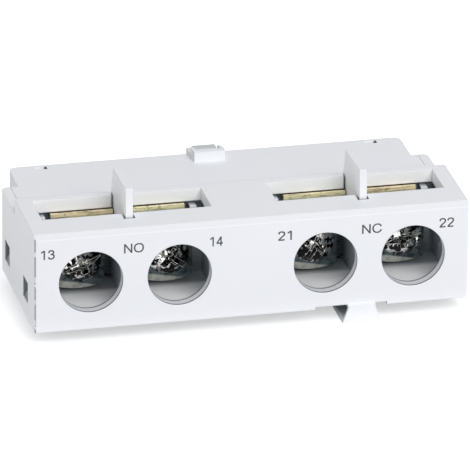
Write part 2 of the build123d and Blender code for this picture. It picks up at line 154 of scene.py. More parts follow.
class TerminalSettings(bpy.types.PropertyGroup):
    screw_colour: bpy.props.FloatVectorProperty(
        name="Screw", description="Colour of the plated screws", subtype="COLOR", size=4,
        min=0.0, max=1.0, default=(0.62, 0.62, 0.60, 1.0))
    washer_colour: bpy.props.FloatVectorProperty(
        name="Washer", description="Colour of the clamp washers", subtype="COLOR", size=4,
        min=0.0, max=1.0, default=(0.45, 0.46, 0.42, 1.0))
    # The bright and the browner plate colours are lit and shaded copies of one brass, painted to show
    # different reflections
    plate_colour: bpy.props.FloatVectorProperty(
        name="Plate", description="Colour of the bright brass terminal plates", subtype="COLOR", size=4,
        min=0.0, max=1.0, default=(1.0, 0.93, 0.56, 1.0))
    darker_reflection_colour: bpy.props.FloatVectorProperty(
        name="Plate with darker reflection", description="Colour of the browner brass terminal plates",
        subtype="COLOR", size=4, min=0.0, max=1.0, default=(1.0, 0.84, 0.52, 1.0))
    edge_radius: bpy.props.FloatProperty(
        name="Edge radius", description="Rounding of the stamped and turned edges", subtype="DISTANCE",
        unit="LENGTH", default=0.08 * MM, min=0.0)


class ContactSettings(bpy.types.PropertyGroup):
    bridge_colour: bpy.props.FloatVectorProperty(
        name="Bridge", description="Colour of the copper bridges", subtype="COLOR", size=4,
        min=0.0, max=1.0, default=(0.72, 0.42, 0.28, 1.0))
    silver_colour: bpy.props.FloatVectorProperty(
        name="Contact", description="Colour of the silver contacts", subtype="COLOR", size=4,
        min=0.0, max=1.0, default=(0.82, 0.82, 0.80, 1.0))
    spring_colour: bpy.props.FloatVectorProperty(
        name="Spring", description="Colour of the spring wire", subtype="COLOR", size=4,
        min=0.0, max=1.0, default=(0.50, 0.51, 0.53, 1.0))
    travel: bpy.props.FloatProperty(
        name="Travel", description="How much the return spring shortens", subtype="DISTANCE",
        unit="LENGTH", default=1.4 * MM, min=0.0)


class LetteringSettings(bpy.types.PropertyGroup):
    ink_colour: bpy.props.FloatVectorProperty(
        name="Ink", description="Colour of the printed terminal numbers", subtype="COLOR", size=4,
        min=0.0, max=1.0, default=(0.06, 0.062, 0.07, 1.0))
    cap_height: bpy.props.FloatProperty(
        name="Height", description="Height of the printed figures", subtype="DISTANCE",
        unit="LENGTH", default=1.05 * MM, min=0.0)
    drop: bpy.props.FloatProperty(
        name="Drop", description="Middle of the figures below the raised top", subtype="DISTANCE",
        unit="LENGTH", default=2.06 * MM, min=0.0)
    thickness: bpy.props.FloatProperty(
        name="Thickness", description="Thickness of the ink", subtype="DISTANCE",
        unit="LENGTH", default=0.03 * MM, min=0.0)


class StageSettings(bpy.types.PropertyGroup):
    ambient: bpy.props.FloatProperty(
        name="Ambient", description="Strength of the light from all round", default=0.62, min=0.0)
    key_power: bpy.props.FloatProperty(
        name="Key power", description="Power of the main lamp", subtype="POWER", unit="POWER",
        default=0.9, min=0.0)
    key_size: bpy.props.FloatProperty(
        name="Key size", description="Diameter of the main lamp", subtype="DISTANCE",
        unit="LENGTH", default=0.3, min=0.0)
    key_distance: bpy.props.FloatProperty(
        name="Key distance", description="Distance of the main lamp from the block", subtype="DISTANCE",
        unit="LENGTH", default=0.45, min=0.0)
    key_azimuth: bpy.props.FloatProperty(
        name="Key azimuth", description="Direction of the main lamp round the block", subtype="ANGLE",
        unit="ROTATION", default=math.radians(15))
    key_elevation: bpy.props.FloatProperty(
        name="Key elevation", description="Height angle of the main lamp", subtype="ANGLE",
        unit="ROTATION", default=math.radians(40))
    floor_colour: bpy.props.FloatVectorProperty(
        name="Floor", description="Colour of the floor", subtype="COLOR", size=4,
        min=0.0, max=1.0, default=(0.90, 0.90, 0.90, 1.0))
    floor_lift: bpy.props.FloatProperty(
        name="Floor lift", description="How much whiter the floor looks to the camera",
        default=0.5, min=0.0)
    azimuth: bpy.props.FloatProperty(
        name="Azimuth", description="Camera direction round the block", subtype="ANGLE",
        unit="ROTATION", default=math.radians(-13.083))
    elevation: bpy.props.FloatProperty(
        name="Elevation", description="Camera height angle", subtype="ANGLE",
        unit="ROTATION", default=math.radians(23.199))
    roll: bpy.props.FloatProperty(
        name="Roll", description="Camera roll", subtype="ANGLE",
        unit="ROTATION", default=math.radians(0.561))
    distance: bpy.props.FloatProperty(
        name="Distance", description="Distance from the camera to its aim", subtype="DISTANCE",
        unit="LENGTH", default=778.87 * MM, min=0.0)
    lens: bpy.props.FloatProperty(
        name="Lens", description="Focal length in millimetres", default=584.36, min=1.0)


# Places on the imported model

def front_face_y():
    """Y of the front face. The hook stands ahead of it, so the face is looked for above the screws."""
    return min(v.co.y for v in NODES["front_cover"].data.vertices if v.co.z > 0)


FRONT_Y = front_face_y()


def screw_x(number):
    """X of a terminal screw's axis."""
    low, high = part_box(f"terminal_screw_{number}")
    return (low[0] + high[0]) / 2


# Node helpers

def link(tree, source, target):
    tree.links.new(source, target)


def add_node(tree, kind, **values):
    node = tree.nodes.new(kind)
    for key, value in values.items():
        setattr(node, key, value)
    return node


def feed(tree, value, socket):
    """Give an input a constant or another node's output."""
    if hasattr(value, "links"):
        link(tree, value, socket)
    else:
        socket.default_value = value


def maths(tree, operation, *values, clamp=False):
    node = add_node(tree, "ShaderNodeMath", operation=operation, use_clamp=clamp)
    for socket, value in zip(node.inputs, values):
        feed(tree, value, socket)
    return node.outputs[0]


def vector_maths(tree, operation, *values):
    node = add_node(tree, "ShaderNodeVectorMath", operation=operation)
    for socket, value in zip(node.inputs, values):
        feed(tree, value, socket)
    return node.outputs[0]


def product(tree, first, *others):
    """Masks or values multiplied together."""
    for other in others:
        first = maths(tree, "MULTIPLY", first, other)
    return first


def largest(tree, first, *others):
    """The largest of several masks or values."""
    for other in others:
        first = maths(tree, "MAXIMUM", first, other)
    return first


def below(tree, value, limit):
    return maths(tree, "LESS_THAN", value, limit)


def above(tree, value, limit):
    return maths(tree, "GREATER_THAN", value, limit)


def magnitude(tree, value):
    return maths(tree, "ABSOLUTE", value)


def distance(tree, value, middle):
    """How far a value is from a middle, on either side."""
    return magnitude(tree, maths(tree, "SUBTRACT", value, middle))


def between(tree, value, low, high):
    """1 where a value lies between low and high."""
    return below(tree, distance(tree, value, (low + high) / 2), (high - low) / 2)


def map_range(tree, value, start, end, low=0.0, high=1.0):
    """A value carried from the range start to end onto the range low to high."""
    node = add_node(tree, "ShaderNodeMapRange")
    for label, number in (("From Min", start), ("From Max", end), ("To Min", low), ("To Max", high)):
        node.inputs[label].default_value = number
    link(tree, value, node.inputs["Value"])
    return node.outputs["Result"]


def mix_colour(tree, factor, first, second):
    node = add_node(tree, "ShaderNodeMix", data_type="RGBA")
    for value, socket in ((factor, node.inputs["Factor"]), (first, node.inputs[6]), (second, node.inputs[7])):
        feed(tree, value, socket)
    return node.outputs[2]


def mix_vector(tree, factor, first, second):
    node = add_node(tree, "ShaderNodeMix", data_type="VECTOR")
    for value, socket in ((factor, node.inputs["Factor"]), (first, node.inputs[4]), (second, node.inputs[5])):
        feed(tree, value, socket)
    return node.outputs[1]


def noise(tree, place, scale, detail=2.0):
    """Outputs of a noise texture."""
    node = add_node(tree, "ShaderNodeTexNoise")
    node.inputs["Detail"].default_value = detail
    link(tree, place, node.inputs["Vector"])
    feed(tree, scale, node.inputs["Scale"])
    return node.outputs


def object_place(tree):
    return add_node(tree, "ShaderNodeTexCoord").outputs["Object"]


def surface_normal(tree):
    return add_node(tree, "ShaderNodeNewGeometry").outputs["Normal"]


def axes_of(tree, vector):
    """X, Y and Z of a vector."""
    parts = add_node(tree, "ShaderNodeSeparateXYZ")
    link(tree, vector, parts.inputs[0])
    return parts.outputs


def bumped_normal(tree, height, normal, strength):
    bump = add_node(tree, "ShaderNodeBump")
    bump.inputs["Strength"].default_value = strength
    bump.inputs["Distance"].default_value = BUMP_HEIGHT
    link(tree, height, bump.inputs["Height"])
    link(tree, normal, bump.inputs["Normal"])
    return bump.outputs["Normal"]


# Shared node groups

def new_group(name, inputs, outputs):
    """An empty node group. An input without a default is a vector."""
    tree = bpy.data.node_groups.new(name, "ShaderNodeTree")
    for label, default in inputs.items():
        kind = "NodeSocketVector" if default is None else "NodeSocketFloat"
        socket = tree.interface.new_socket(label, in_out="INPUT", socket_type=kind)
        if default is not None:
            socket.default_value = default
    for label, kind in outputs.items():
        tree.interface.new_socket(label, in_out="OUTPUT", socket_type=kind)
    return tree, add_node(tree, "NodeGroupInput").outputs, add_node(tree, "NodeGroupOutput").inputs


def rounded_edge_group(name):
    """Rounded normals, and a mask that is 1 on convex and concave edges alike."""
    tree, inputs, outputs = new_group(
        name, {"Radius": 0.1 * MM}, {"Normal": "NodeSocketVector", "Edge": "NodeSocketFloat"})
    edge_gain = 11.0
    bevel = add_node(tree, "ShaderNodeBevel", samples=6)
    link(tree, inputs["Radius"], bevel.inputs["Radius"])
    dot = add_node(tree, "ShaderNodeVectorMath", operation="DOT_PRODUCT")
    link(tree, bevel.outputs["Normal"], dot.inputs[0])
    link(tree, surface_normal(tree), dot.inputs[1])
    turn = maths(tree, "SUBTRACT", 1.0, dot.outputs["Value"])
    link(tree, bevel.outputs["Normal"], outputs["Normal"])
    link(tree, maths(tree, "MULTIPLY", turn, edge_gain, clamp=True), outputs["Edge"])
    return tree


def recess_shade_group(name):
    """Masks of painted shade on faces deep in a recess, less on a floor that light falls on, and of half
    hidden faces, which get painted bounce light.
    """
    tree, inputs, outputs = new_group(
        name, {"Reach": 4.0 * MM, "Floor share": 0.3},
        {"Shade": "NodeSocketFloat", "Half hidden": "NodeSocketFloat"})
    deep_openness, half_openness = (0.46, 0.16), (0.9, 0.6)
    openness = add_node(tree, "ShaderNodeAmbientOcclusion", samples=8)
    link(tree, inputs["Reach"], openness.inputs["Distance"])
    deep = map_range(tree, openness.outputs["AO"], *deep_openness)
    half = map_range(tree, openness.outputs["AO"], *half_openness)
    lit_share = maths(tree, "SUBTRACT", 1.0, inputs["Floor share"])
    upward = maths(tree, "MULTIPLY", axes_of(tree, surface_normal(tree))["Z"], lit_share, clamp=True)
    link(tree, product(tree, deep, maths(tree, "SUBTRACT", 1.0, upward)), outputs["Shade"])
    link(tree, half, outputs["Half hidden"])
    return tree


def fine_grain_group(name):
    """Fine surface grain with slow changes of tone."""
    tree, inputs, outputs = new_group(
        name, {"Grain scale": 9000.0, "Cloud scale": 160.0},
        {"Height": "NodeSocketFloat", "Cloud": "NodeSocketFloat"})
    place = object_place(tree)
    link(tree, noise(tree, place, inputs["Grain scale"])["Fac"], outputs["Height"])
    link(tree, noise(tree, place, inputs["Cloud scale"], detail=3.0)["Fac"], outputs["Cloud"])
    return tree


def facet_group(name):
    """Small sharp facets, each with its own tilt and tone."""
    tree, inputs, outputs = new_group(
        name, {"Cell scale": 2000.0, "Tilt": 0.5, "Base normal": None},
        {"Normal": "NodeSocketVector", "Tone": "NodeSocketFloat"})
    bend_scale, bend = 900.0, (0.5 * MM, 0.5 * MM, 0.7 * MM)
    tone_step = (0.58, 0.64)
    place = object_place(tree)
    bent = vector_maths(tree, "MULTIPLY_ADD", noise(tree, place, bend_scale)["Color"], bend, place)
    cells = add_node(tree, "ShaderNodeTexVoronoi", distance="MANHATTAN")
    link(tree, bent, cells.inputs["Vector"])
    link(tree, inputs["Cell scale"], cells.inputs["Scale"])
    centred = vector_maths(tree, "SUBTRACT", cells.outputs["Color"], (0.5, 0.5, 0.5))
    tilt = add_node(tree, "ShaderNodeVectorMath", operation="SCALE")
    link(tree, centred, tilt.inputs[0])
    link(tree, inputs["Tilt"], tilt.inputs["Scale"])
    total = vector_maths(tree, "ADD", tilt.outputs[0], inputs["Base normal"])
    link(tree, vector_maths(tree, "NORMALIZE", total), outputs["Normal"])
    pick = axes_of(tree, cells.outputs["Color"])["X"]
    link(tree, map_range(tree, pick, *tone_step), outputs["Tone"])
    return tree


GROUPS = {
    "Rounded edge": rounded_edge_group,
    "Recess shade": recess_shade_group,
    "Fine grain": fine_grain_group,
    "Facets": facet_group,
}


def group_node(tree, name, **values):
    """A node of a shared group, which is built at its first use. Keys have _ for the spaces of the inputs."""
    group = bpy.data.node_groups.get(name) or GROUPS[name](name)
    node = add_node(tree, "ShaderNodeGroup", node_tree=group)
    for key, value in values.items():
        node.inputs[key.replace("_", " ")].default_value = value
    return node


# Masks on the mouldings, from the axes of the surface point and of its normal

def hole_rim_mask(tree, at, normal):
    """1 along both ends of the walls of the four driver holes, where painted shade draws dark rim lines."""
    left, right = screw_x("13"), screw_x("14")
    off_fin = distance(tree, magnitude(tree, at["X"]), -(left + right) / 2)
    off_axis = maths(tree, "SUBTRACT", off_fin, (right - left) / 2)
    squares = (product(tree, offset, offset) for offset in (off_axis, at["Z"]))
    reach = maths(tree, "SQRT", maths(tree, "ADD", *squares))
    middle = FRONT_Y + FRONT_PLATE_THICKNESS / 2
    ends = above(tree, distance(tree, at["Y"], middle), FRONT_PLATE_THICKNESS / 2 - HOLE_RIM_WIDTH)
    return product(tree, below(tree, reach, HOLE_WALL_REACH), ends)


def slot_wall_mask(tree, at, normal):
    """1 on the walls of the wire entries, which painted light makes paler."""
    top_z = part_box("front_cover")[1][2]
    return product(
        tree, above(tree, at["Y"], FRONT_Y + SLOT_DEPTH),
        between(tree, at["Z"], SLOT_FOOT_Z, top_z - TOP_EDGE),
        below(tree, magnitude(tree, at["X"]), INNER_HALF_LENGTH))


def fin_side_mask(tree, at, normal):
    """1 on the left sides of the fins, above the wire entries, which painted light makes paler."""
    return product(tree, below(tree, normal["X"], -TURNED), above(tree, at["Z"], FIN_FOOT_Z))


def tongue_end_mask(tree, at, normal):
    """1 on the ends of the rear tongue, with their rounded corners, which are made darker."""
    partly_turned = 0.6
    outward = above(tree, magnitude(tree, normal["X"]), partly_turned)
    return product(tree, outward, above(tree, at["Y"], TONGUE_Y))


def chamber_floor_mask(tree, at, normal):
    """1 on the floors of the terminal chambers, which painted light makes paler."""
    return product(tree, below(tree, at["Z"], CHAMBER_FLOOR_Z), above(tree, normal["Z"], TURNED))


def chamber_side_mask(tree, at, normal):
    """The darkness of the chamber walls that face left, which hardly any light reaches."""
    darkness = 0.75
    shallow, deep = (FRONT_Y + depth for depth in CHAMBER_DEPTHS)
    return product(
        tree, below(tree, normal["X"], -TURNED), below(tree, magnitude(tree, at["Z"]), CHAMBER_HALF_HEIGHT),
        above(tree, at["X"], -INNER_HALF_LENGTH), between(tree, at["Y"], shallow, deep), darkness)


def window_side_mask(tree, at, normal):
    """The painted shade on the rear sides of the snap windows in the end walls."""
    darkness = 0.85
    return product(
        tree, below(tree, normal["Y"], -TURNED), above(tree, magnitude(tree, at["X"]), WINDOW_X),
        below(tree, at["Z"], WINDOW_TOP_Z), above(tree, at["Y"], FRONT_Y + WINDOW_DEPTH), darkness)


def chamfer_mask(tree, at, normal):
    """1 on the bevel between the front face and the raised top, which painted shade makes darker."""
    half_turned = 0.5
    return product(tree, below(tree, normal["Y"], -half_turned), above(tree, normal["Z"], half_turned))


def washer_shadow_mask(tree, at, normal):
    """Painted shadow on the chamber floor below each washer."""
    darkness = 0.7
    start, end = (FRONT_Y + depth for depth in WASHER_SHADOW_DEPTHS)
    return product(
        tree, map_range(tree, at["Y"], start, end), below(tree, at["Z"], CHAMBER_FLOOR_Z),
        below(tree, at["Y"], FRONT_Y + WASHER_SHADOW_END_DEPTH), darkness)


def lit_pocket_mask(tree, at, normal):
    """1 inside the two small pockets near the back corners, which painted light makes paler."""
    beside = distance(tree, magnitude(tree, at["X"]), POCKET_X)
    return product(
        tree, above(tree, at["Y"], POCKET_Y), between(tree, at["Z"], *POCKET_HEIGHTS),
        below(tree, beside, POCKET_HALF_WIDTH))


def pocket_shadow_mask(tree, at, normal):
    """1 on the painted shadow at the right end of each pocket."""
    depth_share = 0.4
    across = distance(tree, distance(tree, at["X"], POCKET_SHADOW_OFFSET), POCKET_X)
    along = product(tree, distance(tree, at["Y"], POCKET_SHADOW_Y), depth_share)
    mark = below(tree, largest(tree, across, along), POCKET_SHADOW_HALF_WIDTH)
    return product(tree, mark, above(tree, at["Z"], POCKET_HEIGHTS[0]))


def parting_line_mask(tree, at, normal):
    """1 in broken places along the left upright front edge, where the mould closes."""
    break_scale, break_share = 1400.0, 0.44
    flash = above(tree, noise(tree, object_place(tree), break_scale)["Fac"], break_share)
    return product(
        tree, flash, below(tree, at["X"], CAD_BOX[0][0] + FLASH_WIDTH),
        below(tree, at["Y"], FRONT_Y + FLASH_DEPTH))


# Tones, most of them painted light and shade, that each moulding gets before and after the painted highlight
# on its edges, with their masks, and the painted shade that darkens it
UNDER_EDGES = {
    "Cover plastic": ((chamfer_mask, CHAMFER_SHADE),),
    "Housing plastic": ((fin_side_mask, PAINTED_LIGHT), (chamber_floor_mask, PAINTED_LIGHT), (tongue_end_mask, DARKER_END),
                        (lit_pocket_mask, PAINTED_LIGHT)),
}
OVER_EDGES = {
    "Cover plastic": ((slot_wall_mask, PAINTED_LIGHT), (hole_rim_mask, RIM_SHADE), (parting_line_mask, FLASH)),
}
SHADOWS = {
    "Cover plastic": (chamber_side_mask, window_side_mask),
    "Housing plastic": (chamber_side_mask, window_side_mask),
}


# Materials

def shade(colour, factor):
    """A colour made lighter or darker."""
    return tuple(min(1.0, part * factor) for part in colour[:3]) + (1.0,)


def new_material(name):
    material = bpy.data.materials.new(name)
    material.use_nodes = True
    tree = material.node_tree
    return material, tree, tree.nodes["Principled BSDF"]


def moulded_plastic(name, colour, settings):
    """Satin moulded plastic: fine grain, slow tone changes, a painted highlight on rounded edges, painted
    light and shade on chosen faces and painted shade in recesses.
    """
    cloud_tones, half_hidden_share, lug_shade = (0.975, 1.02), 0.8, 0.5
    grain_strength, gloss_change = 0.12, (-0.04, 0.05)
    material, tree, shader = new_material(name)
    edge = group_node(tree, "Rounded edge", Radius=settings.edge_radius)
    grain = group_node(tree, "Fine grain", Grain_scale=7000.0, Cloud_scale=140.0)
    recess = group_node(tree, "Recess shade", Reach=settings.recess_reach, Floor_share=0.05)
    at, normal = axes_of(tree, object_place(tree)), axes_of(tree, surface_normal(tree))

    tone = mix_colour(tree, grain.outputs["Cloud"], *(shade(colour, part) for part in cloud_tones))
    # Painted bounce light makes half hidden faces paler
    half_hidden = product(tree, recess.outputs["Half hidden"], half_hidden_share)
    tone = mix_colour(tree, half_hidden, tone, shade(colour, PAINTED_BOUNCE_LIGHT))
    for mask, part in UNDER_EDGES.get(name, ()):
        tone = mix_colour(tree, mask(tree, at, normal), tone, shade(colour, part))
    # Painted highlight along the rounded edges
    tone = mix_colour(tree, edge.outputs["Edge"], tone, shade(colour, EDGE_HIGHLIGHT))
    for mask, part in OVER_EDGES.get(name, ()):
        tone = mix_colour(tree, mask(tree, at, normal), tone, shade(colour, part))

    # Painted shade in deep recesses, on the chamber walls that face left and on the rear sides of the snap
    # windows
    dark = largest(tree, recess.outputs["Shade"], *(mask(tree, at, normal) for mask in SHADOWS.get(name, ())))
    # On the housing the painted shade stops short of the back, and painted shadows fall below each washer and
    # at the end of each pocket
    if name == "Housing plastic":
        dark = product(tree, dark, below(tree, at["Y"], SHADED_UP_TO_Y))
        dark = largest(tree, dark, washer_shadow_mask(tree, at, normal), pocket_shadow_mask(tree, at, normal))
    tone = mix_colour(tree, dark, tone, tuple(settings.recess_shade_colour))
    # The lugs seen through the snap windows are painted in a darker copy of the shade colour, as painted
    # shade
    if name == "Housing plastic":
        lugs = above(tree, magnitude(tree, at["X"]), settings.lug_start)
        tone = mix_colour(tree, lugs, tone, shade(settings.recess_shade_colour, lug_shade))
    link(tree, tone, shader.inputs["Base Color"])

    link(tree, bumped_normal(tree, grain.outputs["Height"], edge.outputs["Normal"], grain_strength),
         shader.inputs["Normal"])
    least, most = (settings.roughness + change for change in gloss_change)
    link(tree, map_range(tree, grain.outputs["Cloud"], 0.0, 1.0, least, most), shader.inputs["Roughness"])
    shader.inputs["Specular IOR Level"].default_value = 0.4
    return material


def worked_metal(name, colour, dark, roughness, edge_radius, mottle_scale, metallic=1.0, painted_edge_tone=1.25,
                 lines=None, back_y=None, painted_shade_z=None, painted_shade_from=None):
    """Plated or rolled metal: mottled tone, uneven gloss and rounded edges, whose tone paints a highlight
    above 1 and a shade line below 1.

    lines stretches scratches along the metal. Past back_y it lies in painted shadow. The last two arguments
    give the heights where it is free of painted shade and fully in it, and an X from which those heights fall
    to the right.
    """
    mottle, gloss, edge_share, bump_strength = (0.34, 0.5), (0.7, 1.4), 0.8, 0.35
    scratch_lead, painted_shade_fall, back_tone = 0.06, 0.2, 0.03
    painted_shade_colours = (0.03, 0.04, 0.045, 1.0), (0.10, 0.13, 0.14, 1.0)
    material, tree, shader = new_material(name)
    edge = group_node(tree, "Rounded edge", Radius=edge_radius)
    grain = group_node(tree, "Fine grain", Grain_scale=mottle_scale * 4.0, Cloud_scale=mottle_scale)
    cloud, height = grain.outputs["Cloud"], grain.outputs["Height"]
    at = axes_of(tree, object_place(tree))

    patches = cloud
    if lines:
        stretch = add_node(tree, "ShaderNodeMapping")
        stretch.inputs["Scale"].default_value = lines
        link(tree, object_place(tree), stretch.inputs["Vector"])
        scratches = noise(tree, stretch.outputs["Vector"], 1.0, detail=3.0)["Fac"]
        patches = maths(tree, "MINIMUM", scratches, maths(tree, "ADD", cloud, scratch_lead))
        height = maths(tree, "ADD", height, scratches)
    patches = map_range(tree, patches, *mottle)

    tone = mix_colour(tree, patches, shade(colour, dark), colour)
    # Painted highlight along the edges where their tone is above 1, painted shade line where it is below 1
    tone = mix_colour(tree, product(tree, edge.outputs["Edge"], edge_share), tone, shade(colour, painted_edge_tone))
    if back_y is not None:
        tone = mix_colour(tree, above(tree, at["Y"], back_y), tone, shade(colour, back_tone))
    # Painted shade: between the given heights the metal turns to the dark shade colours
    if painted_shade_z:
        level = at["Z"]
        if painted_shade_from is not None:
            fall = product(tree, maths(tree, "SUBTRACT", at["X"], painted_shade_from), painted_shade_fall)
            level = maths(tree, "ADD", level, fall)
        shaded_tone = mix_colour(tree, patches, *painted_shade_colours)
        tone = mix_colour(tree, map_range(tree, level, *painted_shade_z), tone, shaded_tone)
    link(tree, tone, shader.inputs["Base Color"])

    smooth, rough = (roughness * part for part in gloss)
    link(tree, map_range(tree, cloud, 0.0, 1.0, smooth, rough), shader.inputs["Roughness"])
    link(tree, bumped_normal(tree, height, edge.outputs["Normal"], bump_strength), shader.inputs["Normal"])
    shader.inputs["Metallic"].default_value = metallic
    return material


def glint_spot_mask(tree, centre):
    """1 in the drop-shaped spot beside the recess where a white glint is painted."""
    tip_z, foot_z, widening = 0.85 * MM, -0.3 * MM, 0.17
    at = axes_of(tree, object_place(tree))
    half_width = product(tree, maths(tree, "SUBTRACT", tip_z, at["Z"]), widening)
    inside = below(tree, distance(tree, at["X"], centre), half_width)
    return product(tree, inside, above(tree, at["Z"], foot_z))


def bright_plating(name, colour, edge_radius, spot):
    """Bright plating: sharp facets painted dark and white as painted reflections, a painted highlight on the
    edges and a painted white glint beside the recess.
    """
    dark_reflection, white_reflection, edge_glint = 0.03, 1.62, 1.6
    glint_colour, glint_normal = (1.0, 1.0, 1.0, 1.0), (0.0, -0.94, 0.34)
    smooth, rough = 0.05, 0.2
    material, tree, shader = new_material(name)
    edge = group_node(tree, "Rounded edge", Radius=edge_radius)
    facets = group_node(tree, "Facets", Cell_scale=2300.0, Tilt=0.8)
    link(tree, edge.outputs["Normal"], facets.inputs["Base normal"])
    grain = group_node(tree, "Fine grain", Grain_scale=9000.0, Cloud_scale=1500.0)
    cloud = grain.outputs["Cloud"]
    glint = glint_spot_mask(tree, spot)

    # Painted reflections: each facet is painted dark or white, and the edges get a painted highlight
    tone = maths(tree, "MULTIPLY", facets.outputs["Tone"], maths(tree, "ADD", cloud, 0.5), clamp=True)
    tone = mix_colour(tree, tone, shade(colour, dark_reflection), shade(colour, white_reflection))
    tone = mix_colour(tree, edge.outputs["Edge"], tone, shade(colour, edge_glint))
    link(tree, mix_colour(tree, glint, tone, glint_colour), shader.inputs["Base Color"])
    link(tree, map_range(tree, cloud, 0.0, 1.0, smooth, rough), shader.inputs["Roughness"])
    link(tree, mix_vector(tree, glint, facets.outputs["Normal"], glint_normal), shader.inputs["Normal"])
    shader.inputs["Metallic"].default_value = 1.0
    return material


def printed_ink(colour):
    """Matt ink of slightly uneven density."""
    material, tree, shader = new_material("Printed ink")
    grain = group_node(tree, "Fine grain", Grain_scale=12000.0, Cloud_scale=2500.0)
    tone = mix_colour(tree, grain.outputs["Cloud"], shade(colour, 0.8), shade(colour, 1.3))
    link(tree, tone, shader.inputs["Base Color"])
    shader.inputs["Roughness"].default_value = 0.6
    return material


def paint_node(name, material):
    """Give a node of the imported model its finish."""
    node = NODES[name]
    if node.material_slots:
        for slot in node.material_slots:
            slot.material = material
    else:
        node.data.materials.append(material)


def new_piece(scene, name, mesh, material):
    """A new piece of one material, at the origin."""
    piece = bpy.data.objects.new(name, mesh)
    scene.collection.objects.link(piece)
    piece.data.materials.clear()
    piece.data.materials.append(material)
    return piece


# Operators

class BLOCK_OT_finish_mouldings(bpy.types.Operator):
    """Finish the front cover, the rear housing and the actuator slider"""
    bl_idname = "block.finish_mouldings"
    bl_label = "Finish mouldings"

    def execute(self, context):
        s = context.scene.block_mouldings
        paint_node("front_cover", moulded_plastic("Cover plastic", s.cover_colour, s))
        paint_node("rear_housing", moulded_plastic("Housing plastic", s.housing_colour, s))
        paint_node("actuator_slider", moulded_plastic("Slider plastic", s.slider_colour, s))
        return {"FINISHED"}


class BLOCK_OT_finish_terminals(bpy.types.Operator):
    """Finish the screws, clamp washers and terminal plates"""
    bl_idname = "block.finish_terminals"
    bl_label = "Finish terminals"

    # Painted white glint spot of each screw, millimetres to the right of its axis
    SPOTS = {"13": -0.35, "14": -0.15, "21": 0.0, "22": -0.05}
    # These terminals get the bright brass, the others the copy with a darker painted reflection
    BRIGHT_PLATES = ("14", "21")
    # Scratches across, along and up the plates
    PLATE_LINES = (700.0, 2500.0, 9000.0)
    # Painted shadow on a strip at the back of the plates' top, and how far below that top their painted shade
    # starts and is full
    PLATE_BACK = 0.4 * MM
    PLATE_SHADE_DROPS = (0.25 * MM, 0.7 * MM)
    WASHER_SHADE_Z = (-2.75 * MM, -2.6 * MM)

    def execute(self, context):
        s = context.scene.block_terminals
        _, (_, back, top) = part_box("terminal_plate_13")
        plate = {"edge_radius": s.edge_radius, "mottle_scale": 1500.0, "metallic": 0.1,
                 "lines": self.PLATE_LINES, "back_y": back - self.PLATE_BACK,
                 "painted_shade_z": tuple(top - drop for drop in self.PLATE_SHADE_DROPS)}
        # Both brass finishes paint a dark shade line on their edges, a shadow on the back strip and shade
        # below the top
        bright = worked_metal("Rolled brass", s.plate_colour, 0.45, 0.28, painted_edge_tone=0.4, **plate)
        brown = worked_metal("Brass with darker painted reflection", s.darker_reflection_colour, 0.32, 0.34, painted_edge_tone=0.35, **plate)
        for number in TERMINALS:
            centre = screw_x(number)
            screw = bright_plating(f"Plated screw {number}", s.screw_colour, s.edge_radius,
                                   centre + self.SPOTS[number] * MM)
            # The washers are painted into shade above their lowest strip, reaching lower towards the right
            washer = worked_metal(f"Plated washer {number}", s.washer_colour, 0.6, 0.32, s.edge_radius,
                                  1400.0, metallic=0.7, painted_shade_z=self.WASHER_SHADE_Z, painted_shade_from=centre)
            paint_node(f"terminal_screw_{number}", screw)
            paint_node(f"clamp_washer_{number}", washer)
            paint_node(f"terminal_plate_{number}", bright if number in self.BRIGHT_PLATES else brown)
        return {"FINISHED"}


class BLOCK_OT_finish_contacts(bpy.types.Operator):
    """Finish the bridges, silver contacts and springs"""
    bl_idname = "block.finish_contacts"
    bl_label = "Finish contacts"

    def execute(self, context):
        s = context.scene.block_contacts
        edge_radius = context.scene.block_terminals.edge_radius
        # These metals get a painted highlight along their edges
        copper = worked_metal("Rolled copper", s.bridge_colour, 0.75, 0.3, edge_radius, 600.0)
        silver = worked_metal("Silver", s.silver_colour, 0.85, 0.3, edge_radius, 800.0)
        wire = worked_metal("Spring wire", s.spring_colour, 0.8, 0.25, edge_radius / 4, 900.0)
        for pair in ("open", "closed"):
            paint_node(f"contact_bridge_{pair}", copper)
            paint_node(f"moving_contacts_{pair}", silver)
            paint_node(f"contact_spring_{pair}", wire)
        for number in TERMINALS:
            paint_node(f"fixed_contact_{number}", silver)
        self.make_return_spring(context.scene, s.travel, wire)
        return {"FINISHED"}

    def make_return_spring(self, scene, travel, wire):
        """The return spring as a piece of its own."""
        mesh = NODES["return_spring"].data.copy()
        bm = bmesh.new()
        bm.from_mesh(mesh)
        bmesh.ops.remove_doubles(bm, verts=bm.verts, dist=WELD_DISTANCE)
        bmesh.ops.recalc_face_normals(bm, faces=bm.faces)
        bm.to_mesh(mesh)
        bm.free()
        piece = new_piece(scene, "return_spring_wire", mesh, wire)
        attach(piece, "housing")
        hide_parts("return_spring")
        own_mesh(piece)


